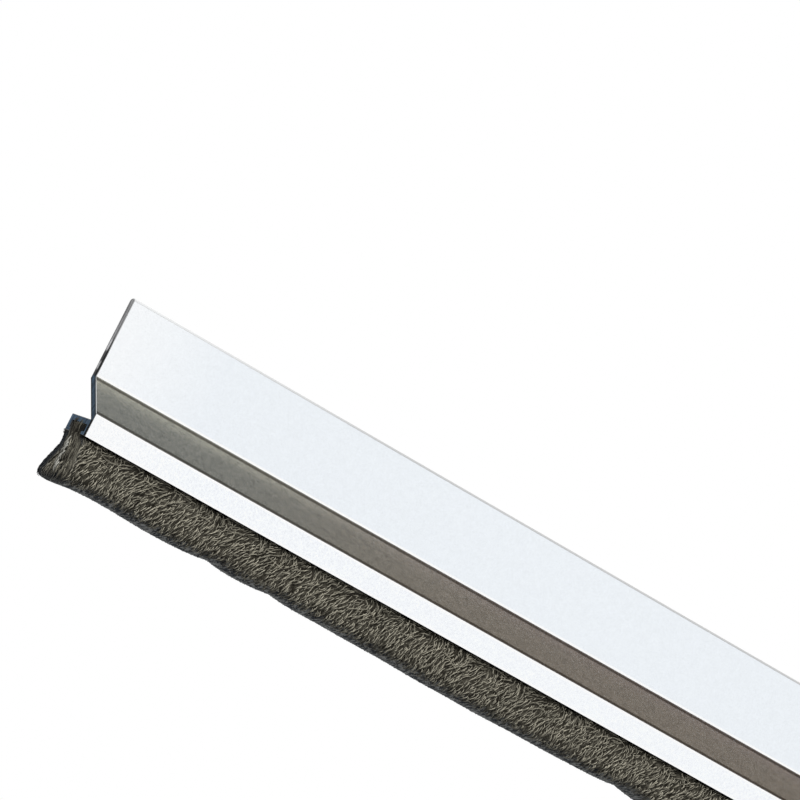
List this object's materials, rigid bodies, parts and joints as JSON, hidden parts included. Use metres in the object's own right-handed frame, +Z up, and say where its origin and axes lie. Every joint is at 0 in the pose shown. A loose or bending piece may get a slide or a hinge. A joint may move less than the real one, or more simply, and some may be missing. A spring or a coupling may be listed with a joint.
{
  "type": "door draught strip",
  "caption": "Straight aluminium carrier with a flat fixing flange, a sloping web and a channel that holds a dense pile against draughts under a door.",
  "frame": {"origin": "centre of the fixing flange's flat back face", "axes": "+X along the strip, -Y out to the room and +Y into the door, +Z up, as the strip is fitted"},
  "size_m": [0.838, 0.0145, 0.0456],
  "materials": {
    "anodised_aluminium": "satin anodised, sawn ends",
    "backing_ribbon": "woven ribbon with a matt coating",
    "pile_fibre": "dense curled synthetic pile"
  },
  "bodies": {
    "root": {"carrier_profile": "anodised_aluminium", "pile_backing": "backing_ribbon", "pile": "pile_fibre"}
  },
  "joints": []
}
